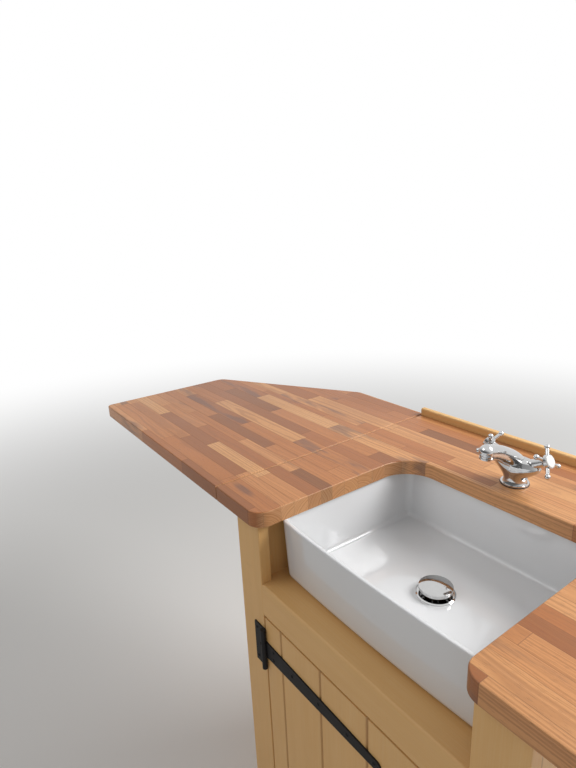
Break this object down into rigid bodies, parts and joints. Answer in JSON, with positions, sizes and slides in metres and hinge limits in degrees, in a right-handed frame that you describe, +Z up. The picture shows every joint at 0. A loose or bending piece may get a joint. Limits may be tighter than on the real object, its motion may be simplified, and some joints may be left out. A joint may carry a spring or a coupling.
{
  "type": "kitchen sink unit with folding worktop flap",
  "caption": "Painted timber sink unit with a ceramic basin open to the front, hardwood worktop, hinged drop-down flap, mixer tap and a ledged cupboard door on tee hinges.",
  "frame": {"origin": "on the floor, under the middle of the whole unit with its flap up", "axes": "+X right along the wall, +Y from the front to the wall, +Z up"},
  "size_m": [1.38, 0.623, 0.9647],
  "materials": {
    "oiled_hardwood": "oiled stave board, satin",
    "cream_paint": "satin cream paint on timber",
    "white_glaze": "glossy white glaze",
    "white_china": "glossy white disc",
    "chrome_plate": "polished",
    "turned_brass": "satin",
    "black_iron": "black satin",
    "white_plastic": "matt",
    "zinc_plate": "zinc plated"
  },
  "bodies": {
    "cabinet": {"worktop": "oiled_hardwood", "back_batten": "cream_paint", "flap_fixed_leaves": "turned_brass", "sink": "white_glaze", "waste_body": "chrome_plate", "waste_nut": "turned_brass", "tap_body": "chrome_plate", "tap_shank_nut": "turned_brass", "left_stile": "cream_paint", "right_stile": "cream_paint", "sink_ledge_rail": "cream_paint", "bottom_rail": "cream_paint", "left_side_panel": "cream_paint", "right_side_panel": "cream_paint", "left_sink_lining": "cream_paint", "right_sink_lining": "cream_paint", "left_sink_bearer": "cream_paint", "right_sink_bearer": "cream_paint", "upper_back_rail": "cream_paint", "lower_back_rail": "cream_paint", "cupboard_floor": "cream_paint", "upper_hinge_plate": "black_iron", "lower_hinge_plate": "black_iron", "catch_body": "white_plastic"},
    "flap": {"flap": "oiled_hardwood", "flap_moving_leaves": "turned_brass"},
    "door": {"door_boards": "cream_paint", "upper_door_ledge": "cream_paint", "lower_door_ledge": "cream_paint", "door_brace": "cream_paint", "upper_hinge_strap": "black_iron", "lower_hinge_strap": "black_iron", "door_handle": "black_iron", "catch_plate": "zinc_plate"},
    "left_tap": {"left_tap_handle": "chrome_plate", "left_tap_index": "white_china"},
    "right_tap": {"right_tap_handle": "chrome_plate", "right_tap_index": "white_china"},
    "waste_plug": {"waste_cap": "chrome_plate"}
  },
  "joints": [
    {"name": "flap_hinge", "type": "hinge", "parent": "cabinet", "child": "flap", "pos_m": [-0.0515, 0.0115, 0.826], "axis": [0, -1, 0], "range_deg": [0, 90]},
    {"name": "door_hinge", "type": "hinge", "parent": "cabinet", "child": "door", "pos_m": [0.0795, -0.282, 0.353], "axis": [0, 0, -1], "range_deg": [0, 110]},
    {"name": "left_tap_turn", "type": "hinge", "parent": "cabinet", "child": "left_tap", "pos_m": [0.275, 0.1525, 0.908], "axis": [-0.866, 0, 0.5], "range_deg": [0, 90]},
    {"name": "right_tap_turn", "type": "hinge", "parent": "cabinet", "child": "right_tap", "pos_m": [0.337, 0.1525, 0.908], "axis": [0.866, 0, 0.5], "range_deg": [-90, 0]},
    {"name": "waste_cap_slide", "type": "slide", "parent": "cabinet", "child": "waste_plug", "axis": [0, 0, 1], "range_m": [-0.006, 0]}
  ]
}
